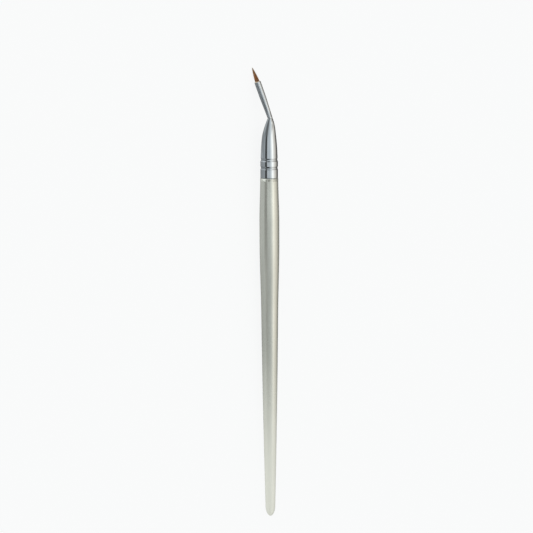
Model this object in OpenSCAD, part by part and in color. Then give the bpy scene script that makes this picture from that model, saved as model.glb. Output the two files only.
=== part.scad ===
// Bent eyeliner brush, lying as it comes to rest on a flat surface. Millimetres, +Z up.
// A turned and lacquered wooden handle carries a drawn metal ferrule. The ferrule is crimped on to
// the handle's tenon, tapers to a pinched elbow, turns aside there and goes on as a slim tube.
// The tube holds a pointed tuft of hair, set in a plug of resin.
// Every piece is drawn upright in the brush's own frame: the handle's axis is z, the tail end is
// z = 0 and the head bends towards -x. lie_down() then lays the brush on the plane z = 0.

/* [Handle] */
// Length of the handle from the tail end to the ferrule's rim
handle_len = 130.1; // [118:0.1:150]
// Diameter of the belly, the widest place
belly_d = 7.46; // [7.2:0.01:8.6]
// Distance from the tail end to the start of the belly
belly_at = 106.4; // [98:0.1:110]
// Length of the belly before the handle narrows to the ferrule
belly_len = 7.4; // [4:0.1:9]
// Diameter where the slow taper ends and the handle swells to the belly
waist_d = 6.4; // [5.8:0.01:6.8]
// Distance from the tail end to that place
waist_at = 78.5; // [72:0.5:92]
// Diameter just in front of the rounded tail end
tail_d = 3.7; // [3.2:0.05:5]
// Length of the rounded tail end
nose_len = 4; // [2:0.1:8]
// How much fuller than a straight cone the slow taper is at its middle, in diameter
taper_fullness = 0.25; // [0:0.05:0.5]
// Diameter of the handle's shoulder at the ferrule's rim
shoulder_d = 6.8; // [6.72:0.01:7.1]
// Radius of the shoulder's lacquered edge
shoulder_round = 0.35; // [0.1:0.05:0.5]
// Length of the tenon inside the ferrule
tenon_len = 11; // [9:0.5:13]
// Chamfer on the tenon's end
tenon_chamfer = 0.5; // [0.2:0.1:1]

/* [Ferrule] */
// Outer diameter of the ferrule's barrel at the rim
barrel_d = 6.62; // [6.2:0.02:6.7]
// Thickness of the sheet
wall = 0.28; // [0.2:0.01:0.34]
// Height of the lower crimped ring above the rim
lower_ring_at = 3.8; // [2.5:0.05:4.5]
// Height of the upper crimped ring above the rim
upper_ring_at = 6.84; // [6.2:0.02:8.5]
// Width of a crimped ring
ring_w = 1.1; // [0.8:0.05:1.6]
// Depth of a crimped ring
ring_depth = 0.17; // [0.05:0.01:0.25]
// How much narrower the barrel is above the upper ring
ring_step = 0.23; // [0:0.01:0.3]
// How much the barrel narrows from there to the elbow as a plain cone
barrel_cone = 1.15; // [0:0.05:2]
// Power of the curve that narrows it further to the neck: more leaves it to the last stretch
neck_power = 3.2; // [2:0.1:4]
// Height above the rim at which the elbow's corner lies
elbow_h = 22.6; // [21.5:0.1:28]
// How far the elbow's corner lies from the handle's axis, away from the bend
elbow_shift = 0.42; // [0:0.02:0.6]
// Height above the rim at which the barrel starts to lean that way
lean_start = 15; // [13.5:0.1:17]
// Thickness of the pinched neck, in the plane of the bend
neck_t = 1.8; // [1.6:0.02:2.2]
// Width of the pinched neck, across the plane of the bend
neck_w = 2.4; // [2.3:0.02:2.8]
// Reach of the pinch to either side of the elbow
pinch_reach = 2.8; // [1.5:0.1:3]
// Angle by which the slim tube turns aside
bend_angle = 19.1; // [8:0.1:26]
// Radius of the elbow's bend, on the centre line
bend_r = 2.6; // [2.4:0.1:5]
// Length of the slim tube from the elbow's corner to its mouth
slim_len = 14.35; // [12.5:0.05:20]
// Outer diameter of the slim tube at its mouth
slim_d = 2.4; // [2.3:0.02:2.6]
// Length of the slim tube's cylindrical stretch behind the mouth
slim_straight = 6; // [4:0.1:8]
// Chamfer on the edges of the mouth and of the rim
edge_chamfer = 0.06; // [0.02:0.01:0.08]

/* [Tuft] */
// Length of hair in front of the mouth
hair_len = 5.8; // [4:0.1:9]
// Length of the tuft's root inside the slim tube
root_len = 9; // [6.5:0.1:10]
// How much further than the tube the tuft leans to the side of the bend
hair_lean = 1; // [0:0.5:6]
// Power of the tuft's belly: more keeps it full for longer
tuft_belly = 1.3; // [1:0.1:2]
// Power of the tuft's point: less makes it blunter
tuft_point = 0.75; // [0.5:0.05:1]
// Twist of the locks from the mouth to the tip
lock_twist = 20; // [0:1:45]
// Number of locks round the outside of the tuft
outer_locks = 20; // [14:1:24]
// Number of locks in the ring inside it
inner_locks = 9; // [6:1:12]

/* [Fits] */
// Gap between the tenon and the inside of the ferrule
tenon_gap = 0.02; // [0.01:0.01:0.08]
// Gap between the root, the resin and the inside of the slim tube
root_gap = 0.02; // [0.01:0.01:0.06]
// How far the free hair stands in from the edge of its root, where the resin has drawn it in
hair_inset = 0.03; // [0.02:0.01:0.08]
// How far the resin has run down into the barrel, from the elbow's corner
plug_reach = 4.1; // [3.4:0.1:8]

/* [Hidden] */

lacquer_col = [0.78, 0.79, 0.75];
metal_col = [0.72, 0.74, 0.76];
resin_col = [0.93, 0.88, 0.74];
hair_col = [0.50, 0.31, 0.16];

// Steps along each stretch of a profile, and sides of the swept rings and the turned pieces
nose_steps = 9;
taper_steps = 14;
swell_steps = 9;
front_steps = 10;
ring_steps = 8;
barrel_steps = 14;
lean_steps = 9;
elbow_steps = 8;
neck_steps = 5;
root_steps = 4;
sweep_sides = 48;
turned_sides = 96;

// The swept elbow's lead past the pinch, its overlap with the round pieces at both ends, and how far
// it stands clear of those pieces, outside and inside
elbow_lead = 0.3;
elbow_overlap = 0.2;
cover = 0.016;

// A smooth step from 0 to 1
function smooth(t) = t <= 0 ? 0 : t >= 1 ? 1 : t * t * (3 - 2 * t);
function sorted(v) =
    len(v) < 2 ? v : concat(
        sorted([for (x = v) if (x < v[0]) x]),
        [v[0]],
        sorted([for (x = v) if (x > v[0]) x])
    );

// Handle: radius against distance from the tail end

// The swell starts with the slope that the slow taper ends with
waist_slope = (waist_d - tail_d - 4 * taper_fullness) / (waist_at - nose_len);
crown_end = belly_at + belly_len;
shoulder_at = handle_len - shoulder_round;

function taper_diameter(t) = tail_d + (waist_d - tail_d) * t + 4 * taper_fullness * t * (1 - t);
function swell_diameter(t) =
    waist_d + (belly_d - waist_d) * smooth(t)
    + waist_slope * (belly_at - waist_at) * t * (1 - t) * (1 - t);

nose_outline = [
    for (i = [0 : nose_steps])
        let (a = 90 * i / nose_steps)
        [tail_d / 2 * sin(a), nose_len * (1 - cos(a))]
];
taper_outline = [
    for (i = [1 : taper_steps])
        let (t = i / taper_steps)
        [taper_diameter(t) / 2, nose_len + (waist_at - nose_len) * t]
];
swell_outline = [
    for (i = [1 : swell_steps])
        let (t = i / swell_steps)
        [swell_diameter(t) / 2, waist_at + (belly_at - waist_at) * t]
];
front_outline = [
    for (i = [0 : front_steps])
        let (t = i / front_steps)
        [
            (belly_d - (belly_d - shoulder_d) * smooth(t)) / 2,
            crown_end + (shoulder_at - crown_end) * t
        ]
];
shoulder_outline = [
    for (a = [15 : 15 : 90])
        [
            shoulder_d / 2 - shoulder_round * (1 - cos(a)),
            shoulder_at + shoulder_round * sin(a)
        ]
];
outline = concat(nose_outline, taper_outline, swell_outline, front_outline);

// Ferrule: a figure of revolution up to where the barrel leans, with heights above its rim

ring_heights = [lower_ring_at, upper_ring_at];
taper_start = upper_ring_at + ring_w / 2;

function ring_dip(h) = max([
    for (c = ring_heights)
        abs(h - c) < ring_w / 2 ? ring_depth * cos(180 * (h - c) / ring_w) : 0
]);
function barrel_radius(h) =
    let (
        t = max(0, h - taper_start) / (elbow_h - taper_start),
        step = ring_step * smooth((h - upper_ring_at) / ring_w + 0.5),
        curve = barrel_d - ring_step - barrel_cone - neck_t
    )
    (barrel_d - step - barrel_cone * t - curve * pow(t, neck_power)) / 2 - ring_dip(h);

// Heights of the barrel's outline: closer together towards the neck, and closest across the rings
barrel_spread = 0.8;
ring_margin = 0.65;
plain_heights = [
    for (i = [1 : barrel_steps - 1])
        let (h = lean_start * pow(i / barrel_steps, barrel_spread))
        if (min([for (c = ring_heights) abs(h - c)]) > ring_w * ring_margin) h
];
crimp_heights = [
    for (c = ring_heights, i = [0 : ring_steps]) c + ring_w * (i / ring_steps - 0.5)
];
barrel_heights = sorted(concat(plain_heights, crimp_heights));

// Centre line of the bent head. u is the distance along it from the elbow's corner.
bend_reach = bend_r * tan(bend_angle / 2);
lean_reach = elbow_h - lean_start;
neck_reach = pinch_reach + elbow_lead;
function turned_by(u) =
    bend_angle * min(1, max(0, (u + bend_reach) / (2 * bend_reach)));
function centre(u) =
    u <= -bend_reach
        ? [elbow_shift * smooth(1 + (u + bend_reach) / (lean_reach - bend_reach)), 0, u]
        : u >= bend_reach
        ? [elbow_shift - u * sin(bend_angle), 0, u * cos(bend_angle)]
        : [
            elbow_shift - bend_r * (1 - cos(turned_by(u))),
            0,
            bend_r * sin(turned_by(u)) - bend_reach
        ];

// Outer radius of the slim tube, and half the thickness and half the width of the bent head
function slim_radius(u) =
    neck_t / 2 + (slim_d - neck_t) / 2 * min(1, u / (slim_len - slim_straight));
function half_thickness(u) = u < 0 ? barrel_radius(elbow_h + u) : slim_radius(u);
function half_width(u) =
    half_thickness(u) + (neck_w - neck_t) / 2 * pow(cos(90 * min(1, abs(u) / pinch_reach)), 2);

// One ring of the sweep: an ellipse across the centre line, set in from the outside by depth
function ring_points(u, depth) =
    let (c = centre(u), a = turned_by(u))
    [
        for (i = [0 : sweep_sides - 1])
            let (
                q = 360 * i / sweep_sides,
                x = (half_thickness(u) - depth) * cos(q),
                y = (half_width(u) - depth) * sin(q)
            )
            [c.x + x * cos(a), y, c.z + x * sin(a)]
    ];
bore_depth = wall + cover;

// Places of the rings: wide apart on the straight stretches, close together round the elbow
function stations(from, to) = concat(
    [for (i = [0 : lean_steps - 1]) from + (-bend_reach - from) * i / lean_steps],
    [for (i = [0 : elbow_steps]) bend_reach * (2 * i / elbow_steps - 1)],
    [for (i = [1 : neck_steps]) bend_reach + (to - bend_reach) * i / neck_steps]
);

// Tuft: a bundle of locks whose radius falls to that of the tip, with heights above the mouth

tuft_r = slim_d / 2 - wall - root_gap - hair_inset;
tip_r = 0.035;
function tuft_radius(t) =
    tip_r + (tuft_r - tip_r) * pow(1 - pow(min(t, 1), tuft_belly), tuft_point);
function lean_at(z) = -tan(hair_lean) * max(0, z);

// Stops along a lock and lengths of the longest and the shortest lock, as shares of hair_len
lock_stops = [0, 0.2, 0.4, 0.58, 0.74, 0.87, 0.95, 1];
outer_lengths = [0.95, 0.73];
inner_lengths = [0.98, 0.9];
// Radii of the locks against an even packing, and the reach of the inner ones in the bundle
outer_fullness = 1.15;
inner_fullness = 0.7;
inner_reach = 0.97;
core_sides = 12;
lock_sides = 6;

// A different share from 0 to 1 for each lock, evenly spread by the golden section
golden = 0.618034;
function share(i) = i * golden - floor(i * golden);
function lock_length(lengths, i) = lengths[0] + (lengths[1] - lengths[0]) * share(i);

// Rest: the tail end, the belly and the head touch the surface

// Slope of the line on which the tail end and the belly rest, and its height at the tail end
rear = [for (p = outline) if (p.y < waist_at / 2) p];
front = [for (p = outline) if (p.y > waist_at) p];
rest_slope =
    min([for (a = rear) max([for (b = front) (b.x - a.x) / (b.y - a.y)])]);
rest_rise = max([for (p = outline) p.x - rest_slope * p.y]);
pitch = atan(rest_slope);

// The head's points that can touch: the tube's mouth and the outline of the tuft's front half
function from_mouth(p) =
    let (c = centre(slim_len))
    [
        c.x + p.x * cos(bend_angle) - p.z * sin(bend_angle),
        p.y,
        c.z + p.x * sin(bend_angle) + p.z * cos(bend_angle) + handle_len + elbow_h
    ];
function mouth_point(q) = [slim_d / 2 * cos(q), slim_d / 2 * sin(q), -edge_chamfer];
function tuft_point_at(q, t) =
    let (r = tuft_radius(t), z = hair_len * t)
    [r * cos(q) + lean_at(z), r * sin(q), z];
head_points = [
    for (q = [0 : 10 : 350])
        each concat(
            [from_mouth(mouth_point(q))],
            [for (t = [0.5 : 0.05 : 1]) from_mouth(tuft_point_at(q, t))]
        )
];

// The roll about the handle's axis at which the first of them touches
roll = min([
    for (p = head_points)
        let (reach = norm([p.x, p.y]), need = rest_rise + rest_slope * p.z)
        if (reach > need) asin(need / reach) - atan2(p.y, -p.x)
]);

// A point of the brush once laid down, and the middle of the laid brush's box
function laid(p) =
    let (across = p.x * cos(roll) + p.y * sin(roll), up = p.x * sin(roll) - p.y * cos(roll))
    [
        across,
        p.z * cos(pitch) - up * sin(pitch),
        (rest_rise + up) * cos(pitch) + p.z * sin(pitch)
    ];
laid_head = [for (p = head_points) laid(p)];
x_low = min(-belly_d / 2, min([for (p = laid_head) p.x]));
y_low = min([for (p = outline) p.y * cos(pitch) - p.x * sin(pitch)]);
y_high = max([for (p = laid_head) p.y]);
middle = [(x_low + belly_d / 2) / 2, (y_low + y_high) / 2];

module lie_down() {
    translate([-middle.x, -middle.y, rest_rise * cos(pitch)])
        rotate([pitch - 90, 0, 0])
            rotate([0, 0, -roll])
                children();
}

// The frame whose origin is the elbow's corner
module at_elbow() {
    translate([0, 0, handle_len + elbow_h]) children();
}

// The frame whose origin is the middle of the tube's mouth, with z out of it
module at_mouth() {
    at_elbow()
        translate(centre(slim_len))
            rotate([0, -bend_angle, 0])
                children();
}

// A closed skin over rings of points
module skin(rings) {
    n = len(rings[0]);
    last = len(rings) - 1;
    polyhedron(
        points = [for (ring = rings) each ring],
        faces = concat(
            [[for (i = [0 : n - 1]) i]],
            [
                for (k = [0 : last - 1], i = [0 : n - 1])
                    let (a = k * n + i, b = k * n + (i + 1) % n)
                    each [[a, a + n, b + n], [a, b + n, b]]
            ],
            [[for (i = [n - 1 : -1 : 0]) last * n + i]]
        )
    );
}

// A closed skin round a hollow sleeve: its outer rings, then its inner rings back again
module sleeve(outer, inner) {
    n = len(outer[0]);
    rings = concat(outer, [for (i = [len(inner) - 1 : -1 : 0]) inner[i]]);
    count = len(rings);
    polyhedron(
        points = [for (ring = rings) each ring],
        faces = [
            for (k = [0 : count - 1], i = [0 : n - 1])
                let (
                    a = k * n + i,
                    b = k * n + (i + 1) % n,
                    c = (k + 1) % count * n + i,
                    d = (k + 1) % count * n + (i + 1) % n
                )
                each [[a, c, d], [a, d, b]]
        ]
    );
}

module handle() {
    seat = wall + tenon_gap;
    neck_at = tenon_len - tenon_chamfer;
    tenon_heights = concat([0], [for (h = barrel_heights) if (h < neck_at) h], [neck_at]);
    color(lacquer_col)
        lie_down()
            rotate_extrude($fn = turned_sides)
                polygon(concat(
                    outline,
                    shoulder_outline,
                    [for (h = tenon_heights) [barrel_radius(h) - seat, handle_len + h]],
                    [
                        [barrel_radius(tenon_len) - seat - tenon_chamfer, handle_len + tenon_len],
                        [0, handle_len + tenon_len]
                    ]
                ));
}

module ferrule_barrel() {
    outer = [for (h = concat(barrel_heights, [lean_start])) [barrel_radius(h), h]];
    inner = [for (i = [len(outer) - 1 : -1 : 0]) outer[i] - [wall, 0]];
    rim = barrel_radius(0);
    translate([0, 0, handle_len])
        rotate_extrude($fn = turned_sides)
            polygon(concat(
                [[rim - wall, 0], [rim - edge_chamfer, 0], [rim, edge_chamfer]],
                outer,
                inner
            ));
}

module ferrule_elbow() {
    stops = stations(-lean_reach - elbow_overlap, neck_reach + elbow_overlap);
    at_elbow()
        sleeve(
            [for (u = stops) ring_points(u, -cover)],
            [for (u = stops) ring_points(u, bore_depth)]
        );
}

module ferrule_tube() {
    start = neck_reach - slim_len;
    start_r = slim_radius(neck_reach);
    r = slim_d / 2;
    at_mouth()
        rotate_extrude($fn = turned_sides)
            polygon([
                [start_r - wall, start],
                [start_r, start],
                [r, -slim_straight],
                [r, -edge_chamfer],
                [r - edge_chamfer, 0],
                [r - wall, 0],
                [r - wall, -slim_straight]
            ]);
}

module ferrule() {
    color(metal_col)
        lie_down() {
            ferrule_barrel();
            ferrule_elbow();
            ferrule_tube();
        }
}

module resin_plug() {
    stops = stations(-plug_reach, slim_len - root_len);
    color(resin_col)
        lie_down()
            at_elbow()
                skin([for (u = stops) ring_points(u, bore_depth + root_gap)]);
}

module tuft_root() {
    side = [
        for (i = [root_steps : -1 : 0])
            let (z = -root_len * i / root_steps)
            [slim_radius(slim_len + z) - wall - root_gap, z]
    ];
    rotate_extrude($fn = sweep_sides)
        polygon(concat([[0, -root_len]], side, [[0, 0]]));
}

// One lock of hair: a tapering strand that keeps its place in the bundle as the bundle narrows
module lock(place, angle, size, length, sides) {
    for (i = [1 : len(lock_stops) - 1])
        hull() {
            lock_disc(place, angle, size, length * lock_stops[i - 1], sides);
            lock_disc(place, angle, size, length * lock_stops[i], sides);
        }
}

module lock_disc(place, angle, size, t, sides) {
    r = tuft_radius(t);
    q = angle + lock_twist * t;
    z = hair_len * t;
    translate([r * place * cos(q) + lean_at(z), r * place * sin(q), z - tip_r])
        cylinder(h = tip_r, r = r * size, $fn = sides);
}

module hair_tuft() {
    outer = outer_fullness * sin(180 / outer_locks);
    inner = inner_fullness * sin(180 / inner_locks);
    color(hair_col)
        lie_down()
            at_mouth() {
                tuft_root();
                lock(0, 0, 1 - outer, 1, core_sides);
                for (i = [0 : inner_locks - 1])
                    lock(
                        inner_reach - inner,
                        360 * i / inner_locks,
                        inner,
                        lock_length(inner_lengths, i),
                        lock_sides
                    );
                for (i = [0 : outer_locks - 1])
                    lock(
                        1 - outer,
                        360 * i / outer_locks,
                        outer,
                        lock_length(outer_lengths, i),
                        lock_sides
                    );
            }
}

handle();
ferrule();
resin_plug();
hair_tuft();
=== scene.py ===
"""The looks of a bent eyeliner brush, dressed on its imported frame.

Lengths are in metres and angles in radians. Each piece is worked out in the brush's own frame, with
the handle's axis along z, the tail end at z = 0 and the head bent towards -x. RestPose then lays it
on the floor, as the frame lies.
"""

import logging
import math
from dataclasses import asdict, dataclass, field
from enum import Enum
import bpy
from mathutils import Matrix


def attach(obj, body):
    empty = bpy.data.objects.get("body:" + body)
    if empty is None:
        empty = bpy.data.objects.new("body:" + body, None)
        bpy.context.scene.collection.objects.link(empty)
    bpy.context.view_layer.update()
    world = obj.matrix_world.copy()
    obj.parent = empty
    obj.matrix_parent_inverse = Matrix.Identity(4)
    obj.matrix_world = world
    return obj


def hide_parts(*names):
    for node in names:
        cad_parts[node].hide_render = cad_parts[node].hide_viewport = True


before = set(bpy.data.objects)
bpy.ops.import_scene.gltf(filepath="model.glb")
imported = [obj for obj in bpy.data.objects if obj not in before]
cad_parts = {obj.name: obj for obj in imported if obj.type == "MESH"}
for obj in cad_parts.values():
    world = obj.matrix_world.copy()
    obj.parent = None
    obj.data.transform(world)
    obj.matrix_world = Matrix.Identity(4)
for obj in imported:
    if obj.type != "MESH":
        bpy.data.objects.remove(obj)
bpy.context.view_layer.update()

from types import SimpleNamespace
from typing import Any, Callable, Mapping, Sequence, Union

import bpy
from mathutils import Matrix, Vector

MM = 0.001
PHOTO_PIXELS = 533

log = logging.getLogger("eyeliner_brush")

Socket = bpy.types.NodeSocket
Piece = bpy.types.Object
Finish = bpy.types.Material
Colour = tuple[float, float, float, float]
Levels = tuple[tuple[float, float], ...]
Point = tuple[float, float, float]
Stops = Sequence[tuple[float, Colour]]
Inputs = Mapping[int | str, Any] | None


class Node(str, Enum):
    """The solids of the frame."""

    HANDLE = "handle"
    FERRULE = "ferrule"
    RESIN_PLUG = "resin_plug"
    HAIR_TUFT = "hair_tuft"


class Slot(str, Enum):
    """The record's material slots."""

    LACQUER = "pearl_lacquer"
    METAL = "plated_metal"
    RESIN = "setting_resin"
    HAIR = "brown_hair"


def tint(red: int, green: int, blue: int) -> Colour:
    """A colour in linear light, given as it shows on a screen, from 0 to 255."""
    shares = [channel / 255 for channel in (red, green, blue)]
    linear = [s / 12.92 if s <= 0.04045 else ((s + 0.055) / 1.055) ** 2.4 for s in shares]
    return (linear[0], linear[1], linear[2], 1.0)


def grey(level: float, warmth: float = 0.0) -> Colour:
    """A linear grey of that level, yellower where warmth is positive and bluer where negative."""
    return (level * (1 + warmth), level, level * (1 - warmth), 1.0)


def greys(*pairs: tuple[int, int]) -> Levels:
    """Bands of grey, given as turns in thousandths and levels in hundredths."""
    return tuple((turn / 1000, level / 100) for turn, level in pairs)


def math_method(operation: str, swapped: bool = False) -> Callable[..., "Term"]:
    """Makes a method that adds a Math node.

    Args:
        operation: The node's operation.
        swapped: Whether the other number comes first.

    Returns:
        The method, which gives the node's result.
    """

    def method(self: "Term", *others: "Number") -> "Term":
        """What the operation makes of this number and the other one."""
        values = (*others, self) if swapped else (self, *others)
        return self.graph.math(operation, *values)

    return method


@dataclass(frozen=True)
class Term:
    """A number inside a node tree, on which Python's operators add Math nodes."""

    graph: "Graph"
    socket: Socket

    __add__ = math_method("ADD")
    __radd__ = math_method("ADD", swapped=True)
    __sub__ = math_method("SUBTRACT")
    __rsub__ = math_method("SUBTRACT", swapped=True)
    __mul__ = math_method("MULTIPLY")
    __rmul__ = math_method("MULTIPLY", swapped=True)
    __truediv__ = math_method("DIVIDE")
    __pow__ = math_method("POWER")
    __abs__ = math_method("ABSOLUTE")
    __lt__ = math_method("LESS_THAN")

    def __neg__(self) -> "Term":
        """The number with its sign turned."""
        return self * -1.0


Number = Union[float, Term]


class Graph:
    """Adds nodes to a shader tree or a geometry tree."""

    def __init__(self, tree: bpy.types.NodeTree) -> None:
        """Takes over a tree, which gets the nodes."""
        self.tree = tree

    def add(self, kind: str, inputs: Inputs = None, **settings: Any) -> bpy.types.Node:
        """Adds a node.

        Args:
            kind: The node's type.
            inputs: The values or links of its sockets, by name or by place.
            settings: The node's own properties, set first. stops are a ramp's places and colours.

        Returns:
            The node.
        """
        node = self.tree.nodes.new(kind)
        for name, setting in settings.items():
            if name == "stops":
                self._set_stops(node.color_ramp.elements, setting)
            else:
                setattr(node, name, setting)
        for key, value in (inputs or {}).items():
            self.feed(node.inputs[key], value)
        return node

    def out(self, kind: str, inputs: Inputs = None, **settings: Any) -> Socket:
        """The first output of a node, added as add does it."""
        return self.add(kind, inputs, **settings).outputs[0]

    def feed(self, socket: Socket, value: Any) -> None:
        """Links a term or another socket to a socket, or sets a plain value on it."""
        source = value.socket if isinstance(value, Term) else value
        if isinstance(source, Socket):
            self.tree.links.new(source, socket)
        else:
            socket.default_value = source

    @staticmethod
    def _set_stops(elements: Any, stops: Stops) -> None:
        """Gives a new ramp, which has two elements, its stops from the lowest place up."""
        elements.remove(elements[1])
        elements[0].position, elements[0].color = stops[0]
        for place, colour in stops[1:]:
            elements.new(place).color = colour

    def math(self, operation: str, *values: Number, clamp: bool = False) -> Term:
        """The result of a Math node, held between 0 and 1 where clamp is set."""
        inputs = dict(enumerate(values))
        return Term(self, self.out("ShaderNodeMath", inputs, operation=operation, use_clamp=clamp))

    def split(self, vector: Socket) -> tuple[Term, Term, Term]:
        """The three numbers of a vector."""
        node = self.add("ShaderNodeSeparateXYZ", {0: vector})
        return tuple(Term(self, socket) for socket in node.outputs)

    def joined(self, x: Number, y: Number, z: Number) -> Socket:
        """The vector of three numbers."""
        return self.out("ShaderNodeCombineXYZ", {0: x, 1: y, 2: z})

    def mixed(self, factor: Number, first: Any, second: Any) -> Socket:
        """The colour between two, of which a factor of 0 gives the first and 1 the second."""
        inputs = {0: factor, 6: first, 7: second}
        return self.add("ShaderNodeMix", inputs, data_type="RGBA").outputs[2]

    def ramp(self, place: Number, stops: Stops) -> Socket:
        """The colour at a place on a ramp with these stops."""
        return self.out("ShaderNodeValToRGB", {0: place}, stops=stops)

    def scaled(self, vector: Socket, scale: Any) -> Socket:
        """A vector or a colour, with each of its numbers scaled."""
        return self.out("ShaderNodeVectorMath", {0: vector, 1: scale}, operation="MULTIPLY")

    def noise(self, vector: Socket, scale: float, detail: float = 2.0) -> Term:
        """Soft noise about 0.5, with scale lumps along one unit and detail finer layers."""
        inputs = {"Vector": vector, "Scale": scale, "Detail": detail}
        return Term(self, self.out("ShaderNodeTexNoise", inputs))

    def attribute(self, name: str) -> Term:
        """A number that a mesh carries, read in a shader."""
        node = self.add("ShaderNodeAttribute", attribute_name=name)
        return Term(self, node.outputs["Fac"])

    def bump(self, height: Number, rise: float) -> Socket:
        """The normal of a surface with that relief, on which 1 stands rise metres high."""
        return self.out("ShaderNodeBump", {"Height": height, "Strength": 1.0, "Distance": rise})


def clamped(value: Number) -> Number:
    """A number held between 0 and 1."""
    if isinstance(value, Term):
        return value.graph.math("ADD", value, 0.0, clamp=True)
    return min(1.0, max(0.0, value))


def sine(angle: Number) -> Number:
    """The sine of an angle."""
    return angle.graph.math("SINE", angle) if isinstance(angle, Term) else math.sin(angle)


def cosine(angle: Number) -> Number:
    """The cosine of an angle."""
    return angle.graph.math("COSINE", angle) if isinstance(angle, Term) else math.cos(angle)


def share_of(low: Number, high: Number, value: Number) -> Number:
    """How far a value has come from low to high, held between 0 and 1."""
    return clamped((value - low) / (high - low))


def smooth(share: Number) -> Number:
    """A share from 0 to 1 with a soft start and a soft end."""
    return share * share * (3 - 2 * share)


def emptied(data: bpy.types.ID) -> Graph:
    """The graph of a new material or world, without its first nodes."""
    data.use_nodes = True
    data.node_tree.nodes.clear()
    return Graph(data.node_tree)


class Shading:
    """A new material with a Principled shader, and the graph that feeds it."""

    def __init__(self, name: str) -> None:
        """Makes the material."""
        self.material = bpy.data.materials.new(name)
        self.material.use_nodes = True
        self.graph = Graph(self.material.node_tree)
        self.shader = self.material.node_tree.nodes["Principled BSDF"]

    def set(self, **values: Any) -> None:
        """Sets or links the shader's sockets, each by its name with the words joined by _."""
        for name, value in values.items():
            self.graph.feed(self.shader.inputs[name.replace("_", " ")], value)

    def place(self) -> Socket:
        """Where a point lies on its piece, in metres."""
        return self.graph.add("ShaderNodeTexCoord").outputs["Object"]


@dataclass(frozen=True)
class PearlLacquer:
    """Satin pearl lacquer: fine mica in it, a clear coat over it, matter towards the tail.

    Places are along the floor's y, on which the brush lies.
    """

    rim_at: float
    pale: Colour = tint(243, 245, 233)
    shade: Colour = tint(224, 227, 215)
    metallic: float = 0.75
    tail_metallic: float = 0.12
    roughness: float = 0.19
    tail_roughness: float = 0.4
    fade_from: float = -0.012
    fade_to: float = -0.075
    mica_per_metre: float = 7000.0
    mica_shade: float = 0.7
    mica_matt: float = 0.16
    cloud_per_metre: float = 55.0
    cloud_stretch: Point = (4.0, 1.0, 4.0)
    cloud_shade: float = 0.9
    cloud_matt: float = 0.1
    coat: float = 0.35
    coat_roughness: float = 0.16
    peel_per_metre: float = 900.0
    peel_rise: float = 0.004 * MM
    edge_len: float = 1.3 * MM
    edge_drop: float = 0.59 * MM
    edge_power: float = 1.15

    def material(self) -> Finish:
        """Builds the finish."""
        look = Shading("pearl_lacquer")
        graph, place = look.graph, look.place()
        mica = graph.noise(place, self.mica_per_metre, detail=1.0) - 0.5
        cloud = graph.noise(graph.scaled(place, self.cloud_stretch), self.cloud_per_metre)
        peel = graph.noise(place, self.peel_per_metre, detail=1.0)
        _, along, _ = graph.split(place)
        faded = smooth(share_of(self.fade_from, self.fade_to, along))
        matt = self.roughness + (self.tail_roughness - self.roughness) * faded
        edge = share_of(self.rim_at - self.edge_len, self.rim_at, along)
        relief = peel * self.peel_rise - edge**self.edge_power * self.edge_drop
        shaded = clamped(cloud * self.cloud_shade + mica * self.mica_shade)
        look.set(
            Base_Color=graph.mixed(shaded, self.pale, self.shade),
            Metallic=self.metallic + (self.tail_metallic - self.metallic) * faded,
            Roughness=clamped(matt + mica * self.mica_matt + (cloud - 0.5) * self.cloud_matt),
            Coat_Weight=self.coat,
            Coat_Roughness=self.coat_roughness,
            Normal=graph.bump(relief / MM, MM),
        )
        return look.material


@dataclass(frozen=True)
class PlatedMetal:
    """Bright plated sheet with draw lines and smears, satin on the tube, rougher in the crimps and
    darkened there with painted shade.
    """

    bright: Colour = tint(227, 233, 234)
    dull: Colour = tint(210, 217, 219)
    roughness: float = 0.06
    tube_roughness: float = 0.3
    lines: Point = (420.0, 2.5, 1.0)
    line_rise: float = 0.0012 * MM
    smear_per_metre: float = 260.0
    smear_dulls: tuple[float, float] = (1.4, -0.3)
    smear_matt: float = 0.08
    crimp_painted_shade: float = 0.2
    crimp_matt: float = 0.03

    def material(self) -> Finish:
        """Builds the finish."""
        look = Shading("plated_metal")
        graph = look.graph
        sheet = graph.out("ShaderNodeUVMap", uv_map="sheet")
        lines = graph.noise(graph.scaled(sheet, self.lines), 1.0)
        smear = graph.noise(look.place(), self.smear_per_metre, detail=3.0)
        crimp, satin = graph.attribute("crimp"), graph.attribute("satin")
        plain = self.roughness + (self.tube_roughness - self.roughness) * satin
        times, plus = self.smear_dulls
        # the crimp share darkens the colour in the grooves as painted shade; the smears are the
        # metal's own tone
        smear_and_crimp_shade = clamped(smear * times + plus + crimp * self.crimp_painted_shade)
        look.set(
            Base_Color=graph.mixed(smear_and_crimp_shade, self.bright, self.dull),
            Metallic=1.0,
            Roughness=clamped(plain + (smear - 0.5) * self.smear_matt + crimp * self.crimp_matt),
            Normal=graph.bump(lines, self.line_rise),
        )
        return look.material


@dataclass(frozen=True)
class SettingResin:
    """Cream resin that has run up between the hairs at the mouth."""

    cream: Colour = tint(240, 226, 190)
    amber: Colour = tint(212, 172, 116)
    amber_share: tuple[float, float] = (1.6, -0.5)
    roughness: float = 0.34
    grain_per_metre: float = 2600.0
    grain_matt: float = 0.3
    grain_rise: float = 0.02 * MM
    coat: float = 0.3

    def material(self) -> Finish:
        """Builds the finish."""
        look = Shading("setting_resin")
        graph = look.graph
        grain = graph.noise(look.place(), self.grain_per_metre)
        times, plus = self.amber_share
        look.set(
            Base_Color=graph.mixed(clamped(grain * times + plus), self.cream, self.amber),
            Roughness=clamped(self.roughness + (grain - 0.5) * self.grain_matt),
            Coat_Weight=self.coat,
            Normal=graph.bump(grain, self.grain_rise),
        )
        return look.material


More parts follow.
